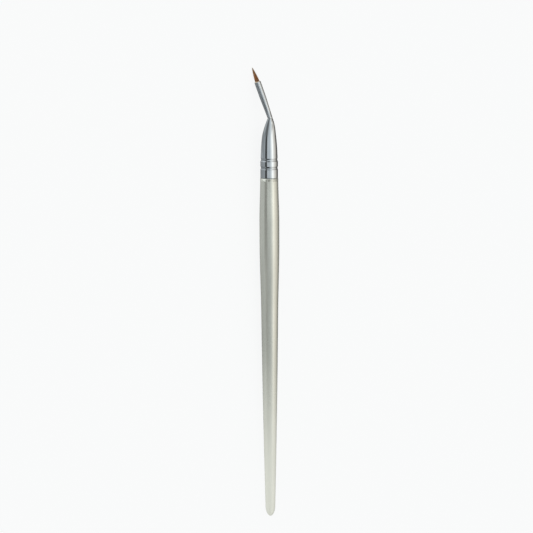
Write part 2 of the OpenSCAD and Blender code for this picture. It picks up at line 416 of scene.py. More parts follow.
@dataclass(frozen=True)
class BristleColour:
    """Brown hair that runs from a dark root over chestnut to a pale tip.

    Each hair's lot is a number from 0 to 1. Low lots are golden and high ones dark.
    """

    lengthways: Stops = (
        (0.0, tint(126, 82, 48)),
        (0.3, tint(154, 100, 56)),
        (0.72, tint(136, 102, 64)),
        (0.97, tint(166, 148, 120)),
    )
    dark: Colour = tint(60, 36, 20)
    dark_lots: tuple[float, float] = (0.62, 1.0)
    dark_weight: float = 0.75
    golden: Colour = tint(184, 132, 80)
    golden_lots: tuple[float, float] = (0.3, 0.0)
    golden_weight: float = 0.7
    roughness: float = 0.36
    lot_matt: float = 0.16
    coat: float = 0.05
    coat_roughness: float = 0.3

    def material(self) -> Finish:
        """Builds the finish."""
        look = Shading("brown_hair")
        graph = look.graph
        along, lot = graph.attribute("along"), graph.attribute("lot")
        plain = graph.ramp(along, self.lengthways)
        darkness = share_of(*self.dark_lots, lot) * self.dark_weight
        darkened = graph.mixed(darkness, plain, self.dark)
        gold = share_of(*self.golden_lots, lot) * self.golden_weight
        look.set(
            Base_Color=graph.mixed(gold, darkened, self.golden),
            Roughness=clamped(self.roughness + lot * self.lot_matt),
            Coat_Weight=self.coat,
            Coat_Roughness=self.coat_roughness,
        )
        return look.material


@dataclass(frozen=True)
class HandleSizes:
    """The turned handle's sizes, which are also the inputs of its tree."""

    handle_len: float = 130.1 * MM
    belly_d: float = 7.46 * MM
    belly_at: float = 106.4 * MM
    belly_len: float = 7.4 * MM
    waist_d: float = 6.4 * MM
    waist_at: float = 78.5 * MM
    tail_d: float = 3.7 * MM
    nose_len: float = 4 * MM
    fullness: float = 0.25 * MM
    shoulder_d: float = 6.8 * MM
    shoulder_round: float = 0.35 * MM
    tenon_len: float = 11 * MM
    tenon_d: float = 5.5 * MM


def handle_diameter(sizes: Any, height: Number) -> Number:
    """The handle's diameter between its rounded ends.

    Args:
        sizes: The handle's sizes, as numbers or as the terms of its tree.
        height: Distance from the tail end.

    Returns:
        The diameter there.
    """
    rise = sizes.waist_d - sizes.tail_d
    slope = (rise - 4 * sizes.fullness) / (sizes.waist_at - sizes.nose_len)
    shoulder_at = sizes.handle_len - sizes.shoulder_round
    taper = share_of(sizes.nose_len, sizes.waist_at, height)
    swell = share_of(sizes.waist_at, sizes.belly_at, height)
    front = share_of(sizes.belly_at + sizes.belly_len, shoulder_at, height)
    slow = sizes.tail_d + rise * taper + 4 * sizes.fullness * taper * (1 - taper)
    kick = slope * (sizes.belly_at - sizes.waist_at) * swell * (1 - swell) * (1 - swell)
    crown = (sizes.belly_d - sizes.waist_d) * smooth(swell)
    return slow + kick + crown - (sizes.belly_d - sizes.shoulder_d) * smooth(front)


@dataclass(frozen=True)
class Handle:
    """The turned and lacquered handle, a lathe whose outline a tree works out."""

    sizes: HandleSizes = field(default_factory=HandleSizes)
    steps: int = 300
    sides: int = 96
    nose_end: float = 0.07
    shoulder_from: float = 0.90
    tenon_from: float = 0.94
    nose_stops: int = 9
    stretch_stops: tuple[int, int, int] = (14, 9, 10)

    def outline(self) -> list[tuple[float, float]]:
        """Radius and height of the turned handle's stops, from the tail end to the shoulder."""
        s = self.sizes
        turns = [math.pi / 2 * i / self.nose_stops for i in range(self.nose_stops)]
        points = [(s.tail_d / 2 * math.sin(a), s.nose_len * (1 - math.cos(a))) for a in turns]
        lows = (s.nose_len, s.waist_at, s.belly_at + s.belly_len)
        highs = (s.waist_at, s.belly_at, s.handle_len - s.shoulder_round)
        for low, high, steps in zip(lows, highs, self.stretch_stops):
            heights = [low + (high - low) * i / steps for i in range(steps + 1)]
            points += [(handle_diameter(s, height) / 2, height) for height in heights]
        return points

    def tree(self) -> bpy.types.NodeTree:
        """Builds the lathe. Its rows run over the nose, the body, the shoulder and the tenon."""
        maker = TreeMaker("turned_handle")
        sizes = maker.numbers(**asdict(self.sizes))
        sheet, row, angle = maker.sheet(self.steps + 1, maker.whole("sides", self.sides) + 1)
        nose = share_of(0.0, self.nose_end, row) * (math.pi / 2)
        body = share_of(self.nose_end, self.shoulder_from, row)
        edge = share_of(self.shoulder_from, self.tenon_from, row) * (math.pi / 2)
        tenon = share_of(self.tenon_from, 1.0, row) * 3
        inward, along, closing = clamped(tenon), clamped(tenon - 1), clamped(tenon - 2)
        shoulder_at = sizes.handle_len - sizes.shoulder_round
        height = sizes.nose_len * (1 - cosine(nose)) + (shoulder_at - sizes.nose_len) * body
        outer = handle_diameter(sizes, height) / 2 * sine(nose)
        rounded = outer - sizes.shoulder_round * (1 - cosine(edge))
        radius = (rounded + (sizes.tenon_d / 2 - rounded) * inward) * (1 - closing)
        height = height + sizes.shoulder_round * sine(edge) + sizes.tenon_len * along
        turned = maker.turned(maker.marked(sheet, row=row), radius, angle, height)
        maker.finish(maker.welded(turned), maker.read("row") < self.tenon_from)
        return maker.tree

    def build(self, pose: Matrix, finish: Finish) -> Piece:
        """Makes the handle of the brush laid in that pose."""
        return grown("turned_handle", self.tree(), finish, pose)


class TreeMaker:
    """A geometry tree with named inputs, which ends in Realize Instances and Set Material."""

    weld = 0.0001 * MM

    def __init__(self, name: str) -> None:
        """Starts the tree."""
        self.tree = bpy.data.node_groups.new(name, "GeometryNodeTree")
        self.graph = Graph(self.tree)
        face = self.tree.interface
        face.new_socket("Geometry", in_out="OUTPUT", socket_type="NodeSocketGeometry")
        face.new_socket("Finish", in_out="INPUT", socket_type="NodeSocketMaterial")
        self.entry = self.tree.nodes.new("NodeGroupInput")

    def _input(self, name: str, kind: str, value: float) -> Term:
        """Adds an input with a default, and gives its term."""
        socket = self.tree.interface.new_socket(name, in_out="INPUT", socket_type=kind)
        socket.default_value = value
        return Term(self.graph, self.entry.outputs[name])

    def numbers(self, **values: float) -> SimpleNamespace:
        """Adds an input for each of these sizes and shares, and gives their terms by name."""
        kind = "NodeSocketFloat"
        terms = {name: self._input(name, kind, value) for name, value in values.items()}
        return SimpleNamespace(**terms)

    def whole(self, name: str, value: int) -> Term:
        """Adds an input for a count or a seed."""
        return self._input(name, "NodeSocketInt", value)

    def sheet(self, rows: Number, columns: Number) -> tuple[Socket, Term, Term]:
        """Adds a grid to be rolled up, whose last column is to meet the first one.

        Returns:
            The grid, how far along it a point lies, from 0 to 1, and the point's angle round.
        """
        grid = self.graph.out("GeometryNodeMeshGrid", {0: 1.0, 1: 1.0, 2: rows, 3: columns})
        x, y, _ = self.graph.split(self.graph.out("GeometryNodeInputPosition"))
        return grid, x + 0.5, y * (-2 * math.pi)

    def turned(
        self, geometry: Socket, radius: Term, angle: Term, height: Term, aside: Number = 0.0
    ) -> Socket:
        """The geometry, with each point set to its own radius, angle and height, moved aside."""
        x, y = radius * cosine(angle) + aside, radius * sine(angle)
        inputs = {"Geometry": geometry, "Position": self.graph.joined(x, y, height)}
        return self.graph.out("GeometryNodeSetPosition", inputs)

    def marked(self, geometry: Socket, **values: Term) -> Socket:
        """The geometry, with numbers stored by name on each of its points."""
        kind = "GeometryNodeStoreNamedAttribute"
        for name, value in values.items():
            inputs = {"Geometry": geometry, "Name": name, "Value": value}
            geometry = self.graph.out(kind, inputs, data_type="FLOAT", domain="POINT")
        return geometry

    def read(self, name: str) -> Term:
        """A number that was stored on the points."""
        kind = "GeometryNodeInputNamedAttribute"
        return Term(self.graph, self.graph.out(kind, {"Name": name}, data_type="FLOAT"))

    def random(self, low: float, high: float, index: Term, seed: Number) -> Term:
        """A random number for each index, from low to high. Each seed has its own numbers."""
        inputs = {2: low, 3: high, "ID": index, "Seed": seed}
        node = self.graph.add("FunctionNodeRandomValue", inputs, data_type="FLOAT")
        return Term(self.graph, node.outputs[1])

    def welded(self, geometry: Socket) -> Socket:
        """The geometry, with its seam and poles closed."""
        inputs = {"Geometry": geometry, "Distance": self.weld}
        return self.graph.out("GeometryNodeMergeByDistance", inputs)

    def finish(self, geometry: Socket, soft: Union[Term, bool]) -> None:
        """Ends the tree with this geometry, of which the soft faces are shaded smooth."""
        graph = self.graph
        real = graph.out("GeometryNodeRealizeInstances", {"Geometry": geometry})
        inputs = {"Geometry": real, "Selection": soft, "Shade Smooth": True}
        shaded = graph.out("GeometryNodeSetShadeSmooth", inputs)
        inputs = {"Geometry": shaded, "Material": self.entry.outputs["Finish"]}
        graph.add("NodeGroupOutput", {0: graph.out("GeometryNodeSetMaterial", inputs)})


def grown(name: str, tree: bpy.types.NodeTree, finish: Finish, pose: Matrix) -> Piece:
    """Runs a geometry tree and keeps its result as a plain mesh.

    Args:
        name: The new object's name.
        tree: The tree, whose inputs keep their defaults apart from its finish.
        finish: The material.
        pose: Moves the mesh from its own frame to its place.

    Returns:
        The object, at the origin, with its place in its mesh.
    """
    seedbed = bpy.data.objects.new(name + "_seedbed", bpy.data.meshes.new(name + "_seedbed"))
    bpy.context.scene.collection.objects.link(seedbed)
    modifier = seedbed.modifiers.new("grow", "NODES")
    modifier.node_group = tree
    for item in tree.interface.items_tree:
        if item.in_out == "INPUT":
            is_finish = item.socket_type == "NodeSocketMaterial"
            modifier[item.identifier] = finish if is_finish else item.default_value
    depsgraph = bpy.context.evaluated_depsgraph_get()
    mesh = bpy.data.meshes.new_from_object(seedbed.evaluated_get(depsgraph), depsgraph=depsgraph)
    bpy.data.objects.remove(seedbed)
    mesh.transform(pose)
    mesh.name = name
    return placed(name, mesh)


def placed(name: str, mesh: bpy.types.Mesh) -> Piece:
    """A new object at the origin that shows a mesh."""
    piece = bpy.data.objects.new(name, mesh)
    bpy.context.scene.collection.objects.link(piece)
    return piece


def swept(
    name: str,
    rings: Sequence[Sequence[Point]],
    lengths: Sequence[float],
    finish: Finish,
    pose: Matrix,
) -> Piece:
    """A closed skin over rings, of which the last joins the first.

    Args:
        name: The new object's name.
        rings: Rings of as many points each, turning counterclockwise as seen from the next one.
        lengths: Distance along the sheet at each ring and back at the first, for the sheet's map.
        finish: The material.
        pose: Moves the mesh from its own frame to its place.

    Returns:
        The object, at the origin, with its place in its mesh.
    """
    sides, count = len(rings[0]), len(rings)
    faces, corners = [], []
    for k in range(count):
        for i in range(sides):
            low, high = k * sides, (k + 1) % count * sides
            j = (i + 1) % sides
            faces.append((low + i, low + j, high + j, high + i))
            left, right = i / sides, (i + 1) / sides
            for turn, length in ((left, k), (right, k), (right, k + 1), (left, k + 1)):
                corners.extend((turn, lengths[length]))
    mesh = bpy.data.meshes.new(name)
    mesh.from_pydata([p for ring in rings for p in ring], [], faces)
    mesh.uv_layers.new(name="sheet").data.foreach_set("uv", corners)
    mesh.polygons.foreach_set("use_smooth", [True] * len(faces))
    mesh.materials.append(finish)
    mesh.transform(pose)
    mesh.update()
    return placed(name, mesh)


@dataclass(frozen=True)
class Ferrule:
    """The drawn sheet-metal ferrule: crimped barrel, pinched elbow and slim tube."""

    barrel_d: float = 6.62 * MM
    wall: float = 0.28 * MM
    lower_ring_at: float = 3.8 * MM
    upper_ring_at: float = 6.84 * MM
    ring_w: float = 1.1 * MM
    ring_depth: float = 0.17 * MM
    ring_edge: float = 0.5
    ring_step: float = 0.23 * MM
    barrel_cone: float = 1.15 * MM
    neck_power: float = 3.2
    elbow_h: float = 22.6 * MM
    elbow_shift: float = 0.42 * MM
    lean_start: float = 15 * MM
    neck_t: float = 1.8 * MM
    neck_w: float = 2.4 * MM
    pinch_reach: float = 2.8 * MM
    bend: float = math.radians(19.1)
    bend_r: float = 2.6 * MM
    slim_len: float = 14.35 * MM
    slim_d: float = 2.4 * MM
    slim_straight: float = 6 * MM
    lip: float = 0.06 * MM
    lip_steps: int = 4
    barrel_step: float = 0.09 * MM
    elbow_step: float = 0.05 * MM
    tube_step: float = 0.3 * MM
    bore_skips: int = 4
    sides: int = 96

    @property
    def bend_reach(self) -> float:
        """How far the bend reaches to either side of the elbow's corner."""
        return self.bend_r * math.tan(self.bend / 2)

    @property
    def bore_r(self) -> float:
        """The radius of the slim tube's bore at the mouth."""
        return self.slim_d / 2 - self.wall

    def ring_dip(self, height: float) -> float:
        """How deep the crimped rings press the barrel in at a height above the rim."""
        dips = [0.0]
        for centre in (self.lower_ring_at, self.upper_ring_at):
            if abs(height - centre) < self.ring_w / 2:
                share = math.cos(math.pi * (height - centre) / self.ring_w)
                dips.append(self.ring_depth * share**self.ring_edge)
        return max(dips)

    def barrel_radius(self, height: float) -> float:
        """The barrel's outer radius at a height above the rim."""
        taper_start = self.upper_ring_at + self.ring_w / 2
        t = max(0.0, height - taper_start) / (self.elbow_h - taper_start)
        step = self.ring_step * smooth(clamped((height - self.upper_ring_at) / self.ring_w + 0.5))
        curve = self.barrel_d - self.ring_step - self.barrel_cone - self.neck_t
        narrowing = step + self.barrel_cone * t + curve * t**self.neck_power
        return (self.barrel_d - narrowing) / 2 - self.ring_dip(height)

    def slim_radius(self, u: float) -> float:
        """The slim tube's outer radius at a distance past the elbow."""
        t = min(1.0, u / (self.slim_len - self.slim_straight))
        return (self.neck_t + (self.slim_d - self.neck_t) * t) / 2

    def turned_by(self, u: float) -> float:
        """How far the centre line has turned aside at a distance past the elbow."""
        return self.bend * clamped((u + self.bend_reach) / (2 * self.bend_reach))

    def centre(self, u: float) -> Point:
        """A point of the centre line, from the elbow's corner."""
        reach = self.bend_reach
        if u <= -reach:
            t = clamped(1 + (u + reach) / (self.elbow_h - self.lean_start - reach))
            return (self.elbow_shift * smooth(t), 0.0, u)
        if u >= reach:
            return (self.elbow_shift - u * math.sin(self.bend), 0.0, u * math.cos(self.bend))
        a = self.turned_by(u)
        aside = self.elbow_shift - self.bend_r * (1 - math.cos(a))
        return (aside, 0.0, self.bend_r * math.sin(a) - reach)

    def ring(self, handle_len: float, u: float, depth: float) -> list[Point]:
        """A ring of points across the centre line.

        Args:
            handle_len: Height of the ferrule's rim.
            u: Distance past the elbow, negative below it.
            depth: How far the ring is set in from the outside.

        Returns:
            Its points, in the brush's own frame.
        """
        x0, _, z0 = self.centre(u)
        a = self.turned_by(u)
        half = self.slim_radius(u) if u >= 0 else self.barrel_radius(self.elbow_h + u)
        share = min(1.0, abs(u) / self.pinch_reach)
        wide = half + (self.neck_w - self.neck_t) / 2 * math.cos(math.pi / 2 * share) ** 2
        points = []
        for i in range(self.sides):
            q = 2 * math.pi * i / self.sides
            x, y = (half - depth) * math.cos(q), (wide - depth) * math.sin(q)
            z = z0 + x * math.sin(a) + handle_len + self.elbow_h
            points.append((x0 + x * math.cos(a), y, z))
        return points

    def stations(self) -> list[tuple[float, float]]:
        """Each ring's place past the elbow and its depth, up the outside and down the bore."""
        low, high, lip, wall = -self.elbow_h, self.slim_len, self.lip, self.wall
        elbow = self.bend_reach * 3
        places = spaced(low + lip, -elbow, self.barrel_step)
        places += spaced(-elbow, elbow, self.elbow_step)[1:]
        places += spaced(elbow, high - lip, self.tube_step)[1:]
        turns = [math.pi / 2 * i / self.lip_steps for i in range(1, self.lip_steps + 1)]
        outside = [(u, 0.0) for u in places]
        inside = [(u, wall) for u in reversed(places[:: self.bore_skips])]
        over = [(high - lip + lip * math.sin(a), lip * (1 - math.cos(a))) for a in turns]
        into = [(high - lip + lip * math.cos(a), wall - lip * (1 - math.sin(a))) for a in turns]
        under = [(low + lip - lip * math.sin(a), wall - lip * (1 - math.cos(a))) for a in turns]
        out = [(low + lip - lip * math.cos(a), lip * (1 - math.sin(a))) for a in turns[:-1]]
        return outside + over + into + inside + under + out

    def build(self, handle_len: float, pose: Matrix, finish: Finish) -> Piece:
        """Makes the ferrule, with its rim as high as the handle is long."""
        stations = self.stations()
        rings = [self.ring(handle_len, u, depth) for u, depth in stations]
        lengths = [0.0]
        for (u, depth), (next_u, next_depth) in zip(stations, stations[1:] + stations[:1]):
            lengths.append(lengths[-1] + math.hypot(next_u - u, next_depth - depth) / MM)
        piece = swept("drawn_ferrule", rings, lengths, finish, pose)
        # the crimp share makes the crimps rougher and also darkens their colour as painted shade
        crimp = [self.ring_dip(self.elbow_h + u) / self.ring_depth for u, _ in stations]
        satin = [smooth(clamped(u / self.pinch_reach)) for u, _ in stations]
        for name, levels in (("crimp", crimp), ("satin", satin)):
            attribute = piece.data.attributes.new(name, "FLOAT", "POINT")
            attribute.data.foreach_set("value", [p for p in levels for _ in range(self.sides)])
        return piece


def spaced(low: float, high: float, step: float) -> list[float]:
    """Evenly spaced numbers from low to high, about a step apart."""
    count = max(1, round((high - low) / step))
    return [low + (high - low) * i / count for i in range(count + 1)]


def bundle_radius(sizes: Any, radius: Number, share: Number) -> Number:
    """The radius of a bundle of hair at a share of its length, with that radius at the mouth."""
    return sizes.tip_r + (radius - sizes.tip_r) * (1 - share**sizes.belly) ** sizes.point


@dataclass(frozen=True)
class Tuft:
    """The pointed hair tuft: filaments round a core painted dark as the bundle's inner shade, grown
    by a tree.
    """

    length: float = 5.8 * MM
    depth: float = 0.6 * MM
    radius: float = 0.88 * MM
    tip_r: float = 0.035 * MM
    belly: float = 1.3
    point: float = 0.75
    lean: float = math.radians(1)
    twist: float = math.radians(20)
    filaments: int = 620
    stops: int = 11
    golden_angle: float = math.radians(137.508)
    shorter: float = 0.3
    wave: float = 0.035
    wave_turn: float = 5.0
    stray: tuple[float, float] = (0.94, 1.03)
    hair_r: float = 0.042 * MM
    thinning: float = 0.72
    hair_sides: int = 5
    core_width: float = 0.84
    core_length: float = 0.96
    core_cap: float = 0.04
    core_shade_lot: float = 0.9
    core_grid: tuple[int, int] = (29, 25)
    seed: int = 7

    def radius_at(self, share: float) -> float:
        """The bundle's radius at a share of its length."""
        return bundle_radius(self, self.radius, min(1.0, share))

    def lean_at(self, height: float) -> float:
        """How far the bundle's middle has moved aside at a height above the mouth."""
        return -math.tan(self.lean) * max(0.0, height)

    def tree(self) -> bpy.types.NodeTree:
        """Builds the tree: a line for each hair, bent to its place in the bundle, with a skin."""
        maker = TreeMaker("hair_tuft")
        graph = maker.graph
        names = ("length", "depth", "radius", "tip_r", "belly", "point", "twist", "hair_r")
        given = {name: getattr(self, name) for name in names}
        sizes = maker.numbers(**given, slope=math.tan(self.lean))
        count, seed = maker.whole("hairs", self.filaments), maker.whole("seed", self.seed)

        line = graph.out("GeometryNodeCurvePrimitiveLine", {"End": (0.0, 0.0, 1.0)})
        cut = graph.out("GeometryNodeResampleCurve", {"Curve": line, "Count": self.stops})
        seats = graph.out("GeometryNodePoints", {"Count": count})
        copies = graph.out("GeometryNodeInstanceOnPoints", {"Points": seats, "Instance": cut})
        hairs = graph.out("GeometryNodeRealizeInstances", {0: copies})

        index = Term(graph, graph.out("GeometryNodeInputIndex"))
        hair = graph.math("FLOOR", (index + 0.5) / self.stops)
        step = (index - hair * self.stops) / (self.stops - 1)
        spread = graph.math("SQRT", (hair + 0.5) / count)
        reach = 1 - maker.random(0.0, self.shorter, hair, seed) * spread * spread
        height = (sizes.length * reach + sizes.depth) * step - sizes.depth
        along = share_of(0.0, sizes.length, height)
        phase = maker.random(0.0, 6.28, hair, seed + 1)
        angle = hair * self.golden_angle + sizes.twist * along
        angle = angle + sine(step * self.wave_turn + phase) * self.wave
        stray = maker.random(*self.stray, hair, seed + 2)
        out = bundle_radius(sizes, sizes.radius, along) * spread * stray - sizes.hair_r * spread
        bent = maker.turned(hairs, out, angle, height, -sizes.slope * along * sizes.length)
        lot, girth = maker.random(0.0, 1.0, hair, seed + 3), 1 - self.thinning * step**3
        told = maker.marked(bent, along=along, lot=lot, girth=sizes.hair_r * girth)
        inputs = {"Resolution": self.hair_sides, "Radius": 1.0}
        ring = graph.out("GeometryNodeCurvePrimitiveCircle", inputs)
        inputs = {"Curve": told, "Profile Curve": ring, "Scale": maker.read("girth")}
        skins = graph.out("GeometryNodeCurveToMesh", {**inputs, "Fill Caps": True})
        joined = graph.add("GeometryNodeJoinGeometry")
        for part in (self.core(maker, sizes), skins):
            graph.feed(joined.inputs[0], part)
        maker.finish(joined.outputs[0], True)
        return maker.tree

    def core(self, maker: TreeMaker, sizes: SimpleNamespace) -> Socket:
        """Adds the body inside the hairs, painted dark as the shade deep in the bundle, so that no
        light shows between them.

        Args:
            maker: The tuft's tree.
            sizes: The terms of the tuft's sizes.

        Returns:
            The body.
        """
        sheet, row, angle = maker.sheet(*self.core_grid)
        height = (sizes.length * self.core_length + sizes.depth) * row - sizes.depth
        along = share_of(0.0, sizes.length, height)
        closed = share_of(0.0, self.core_cap, row) * share_of(1.0, 1 - self.core_cap, row)
        out = bundle_radius(sizes, sizes.radius * self.core_width, along) * closed
        # the core's lot gives it a dark hair colour: painted shade for the inside of the bundle
        told = maker.marked(sheet, along=along, lot=self.core_shade_lot + 0 * along)
        aside = -sizes.slope * along * sizes.length
        return maker.welded(maker.turned(told, out, angle, height, aside))

    def build(self, pose: Matrix, finish: Finish) -> Piece:
        """Makes the tuft at the tube's mouth."""
        return grown("hair_filaments", self.tree(), finish, pose)


@dataclass(frozen=True)
class ResinCollar:
    """The resin that shows at the mouth, which has run higher on the side of the bend."""

    gap: float = 0.004 * MM
    low: float = 0.05 * MM
    high: float = 0.34 * MM
    rise_power: float = 1.4
    ripples: tuple[tuple[float, int, float], ...] = ((0.12, 5, 0.6), (0.08, 11, 0.0))
    starts: float = -0.06 * MM
    stops: int = 5
    closes: float = 1.5
    swell: float = 0.6
    foot: float = 0.5 * MM
    hole: float = 0.5 * MM
    dish: float = 0.02 * MM
    cling: float = 0.035 * MM
    sides: int = 72

    def side(self, bore_r: float, tuft: Tuft, angle: float) -> list[tuple[float, float]]:
        """The collar's outline at one angle.

        Args:
            bore_r: Radius of the tube's bore.
            tuft: The hair that it holds.
            angle: The angle round the tube, where 0 faces away from the bend.

        Returns:
            Its points' radius and height, from the foot over the top and back.
        """
        outer = bore_r - self.gap
        ripple = sum(high * math.sin(count * angle + phase) for high, count, phase in self.ripples)
        lift = clamped((0.5 - 0.5 * math.cos(angle)) ** self.rise_power + ripple)
        top = self.low + (self.high - self.low) * lift
        side = [(outer, -self.foot), (outer, self.starts)]
        for k in range(1, self.stops + 1):
            t = k / self.stops
            height = self.starts + (top - self.starts) * t
            clinging = tuft.radius_at(max(0.0, height) / tuft.length) + self.cling * (1 - t)
            share = min(1.0, t * self.closes) ** self.swell
            side.append((outer + (clinging - outer) * share, height))
        return side + [(self.hole, side[-1][1] - self.dish), (self.hole, -self.foot)]

    def build(self, bore_r: float, tuft: Tuft, pose: Matrix, finish: Finish) -> Piece:
        """Makes the collar in that bore, round that tuft, at the tube's mouth."""
        turns = [2 * math.pi * i / self.sides for i in range(self.sides)]
        outlines = [self.side(bore_r, tuft, q) for q in turns]
        rings: list[list[Point]] = []
        for row in zip(*outlines):
            rings.append([])
            for q, (radius, z) in zip(turns, row):
                x, y = radius * math.cos(q) + tuft.lean_at(z), radius * math.sin(q)
                rings[-1].append((x, y, z))
        lengths = [float(k) for k in range(len(rings) + 1)]
        return swept("resin_collar", rings, lengths, finish, pose)


@dataclass(frozen=True)
class RestPose:
    """How the brush lies: on its tail end, its belly and the first part of its head to touch."""

    pitch: float
    roll: float
    rise: float
    middle: tuple[float, float]

    @classmethod
    def found(cls, handle: Handle, head: Sequence[Point]) -> "RestPose":
        """Works out the rest.

        Args:
            handle: The handle.
            head: The head's points that can touch the floor, in the brush's own frame.

        Returns:
            The pose.
        """
        outline, sizes = handle.outline(), handle.sizes
        rear = [p for p in outline if p[1] < sizes.waist_at / 2]
        front = [p for p in outline if p[1] > sizes.waist_at]
        slope = min(max((b[0] - a[0]) / (b[1] - a[1]) for b in front) for a in rear)
        rise = max(radius - slope * height for radius, height in outline)
        pitch = math.atan(slope)
        rolls = []
        for x, y, z in head:
            reach, need = math.hypot(x, y), rise + slope * z
            if reach > need:
                rolls.append(math.asin(need / reach) - math.atan2(y, -x))
        flat = cls(pitch, min(rolls), rise, (0.0, 0.0)).matrix()
        laid = [flat @ Vector(p) for p in head]
        belly = sizes.belly_d / 2
        x_low = min(-belly, min(p.x for p in laid))
        y_low = min(z * math.cos(pitch) - radius * math.sin(pitch) for radius, z in outline)
        y_high = max(p.y for p in laid)
        return cls(pitch, min(rolls), rise, ((x_low + belly) / 2, (y_low + y_high) / 2))

    def matrix(self) -> Matrix:
        """Moves the brush from its own frame to where it lies."""
        place = (-self.middle[0], -self.middle[1], self.rise * math.cos(self.pitch))
        tip_over = Matrix.Rotation(self.pitch - math.pi / 2, 4, "X")
        return Matrix.Translation(place) @ tip_over @ Matrix.Rotation(-self.roll, 4, "Z")


@dataclass(frozen=True)
class Brush:
    """The whole eyeliner brush."""

    handle: Handle = field(default_factory=Handle)
    ferrule: Ferrule = field(default_factory=Ferrule)
    tuft: Tuft = field(default_factory=Tuft)
    collar: ResinCollar = field(default_factory=ResinCollar)

    def mouth(self) -> Matrix:
        """Moves a piece from the frame of the tube's mouth to the brush's own frame."""
        x, y, z = self.ferrule.centre(self.ferrule.slim_len)
        rim = self.handle.sizes.handle_len + self.ferrule.elbow_h
        return Matrix.Translation((x, y, z + rim)) @ Matrix.Rotation(-self.ferrule.bend, 4, "Y")

    def head_points(self) -> list[Point]:
        """The points of the mouth's edge and of the tuft's front half, in the brush's own frame."""
        mouth, points = self.mouth(), []
        edge = self.ferrule.slim_d / 2
        for degrees in range(0, 360, 10):
            c, s = math.cos(math.radians(degrees)), math.sin(math.radians(degrees))
            points.append(mouth @ Vector((edge * c, edge * s, -self.ferrule.lip)))
            for i in range(10, 21):
                radius, height = self.tuft.radius_at(i / 20), self.tuft.length * i / 20
                spot = (radius * c + self.tuft.lean_at(height), radius * s, height)
                points.append(mouth @ Vector(spot))
        return [tuple(p) for p in points]

    def pose(self) -> Matrix:
        """Where the brush lies."""
        return RestPose.found(self.handle, self.head_points()).matrix()

    def build(self) -> None:
        """Makes every piece, dresses it and sets it on the frame."""
        pose = self.pose()
        at_mouth = pose @ self.mouth()
        rim = pose @ Vector((0.0, 0.0, self.handle.sizes.handle_len))
        lacquer, metal = PearlLacquer(rim_at=rim.y).material(), PlatedMetal().material()
        resin, hair = SettingResin().material(), BristleColour().material()
        handle = self.handle.build(pose, lacquer)
        ferrule = self.ferrule.build(self.handle.sizes.handle_len, pose, metal)
        tuft = self.tuft.build(at_mouth, hair)
        collar = self.collar.build(self.ferrule.bore_r, self.tuft, at_mouth, resin)
        seat(handle, Slot.LACQUER, Node.HANDLE)
        seat(ferrule, Slot.METAL, Node.FERRULE)
        seat(tuft, Slot.HAIR, Node.HAIR_TUFT)
        seat(collar, Slot.RESIN)
        dress_node(Node.RESIN_PLUG, resin)


def seat(piece: Piece, slot: Slot, *nodes: Node) -> None:
    """Sets a piece on the frame's root body and hides the nodes that it stands for. The slot is not
    used.
    """
    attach(piece, "root")
    if nodes:
        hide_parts(*(node.value for node in nodes))
    log.info("%s: %d faces", piece.name, len(piece.data.polygons))


def dress_node(node: Node, finish: Finish) -> None:
    """Gives a node of the frame its finish."""
    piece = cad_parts[node.value]
    if not piece.data.materials:
        piece.data.materials.append(finish)
    for material_slot in piece.material_slots:
        material_slot.material = finish
    log.info("%s: finish %s", node.value, finish.name)


@dataclass(frozen=True)
class Zone:
    """Bands of grey, by their turn round the brush, for rays that leave with certain lifts.

    A lift is the share of a ray along the brush. A zone comes in between two lifts, in whichever
    order they stand, and goes out again between two others if it has them.
    """

    levels: Levels
    comes: tuple[float, float]
    goes: tuple[float, float] | None = None

    def share(self, lift: Term) -> Term:
        """How much of the zone shows at a lift."""
        share = smooth(share_of(*self.comes, lift))
        return share * smooth(share_of(*self.goes, lift)) if self.goes else share


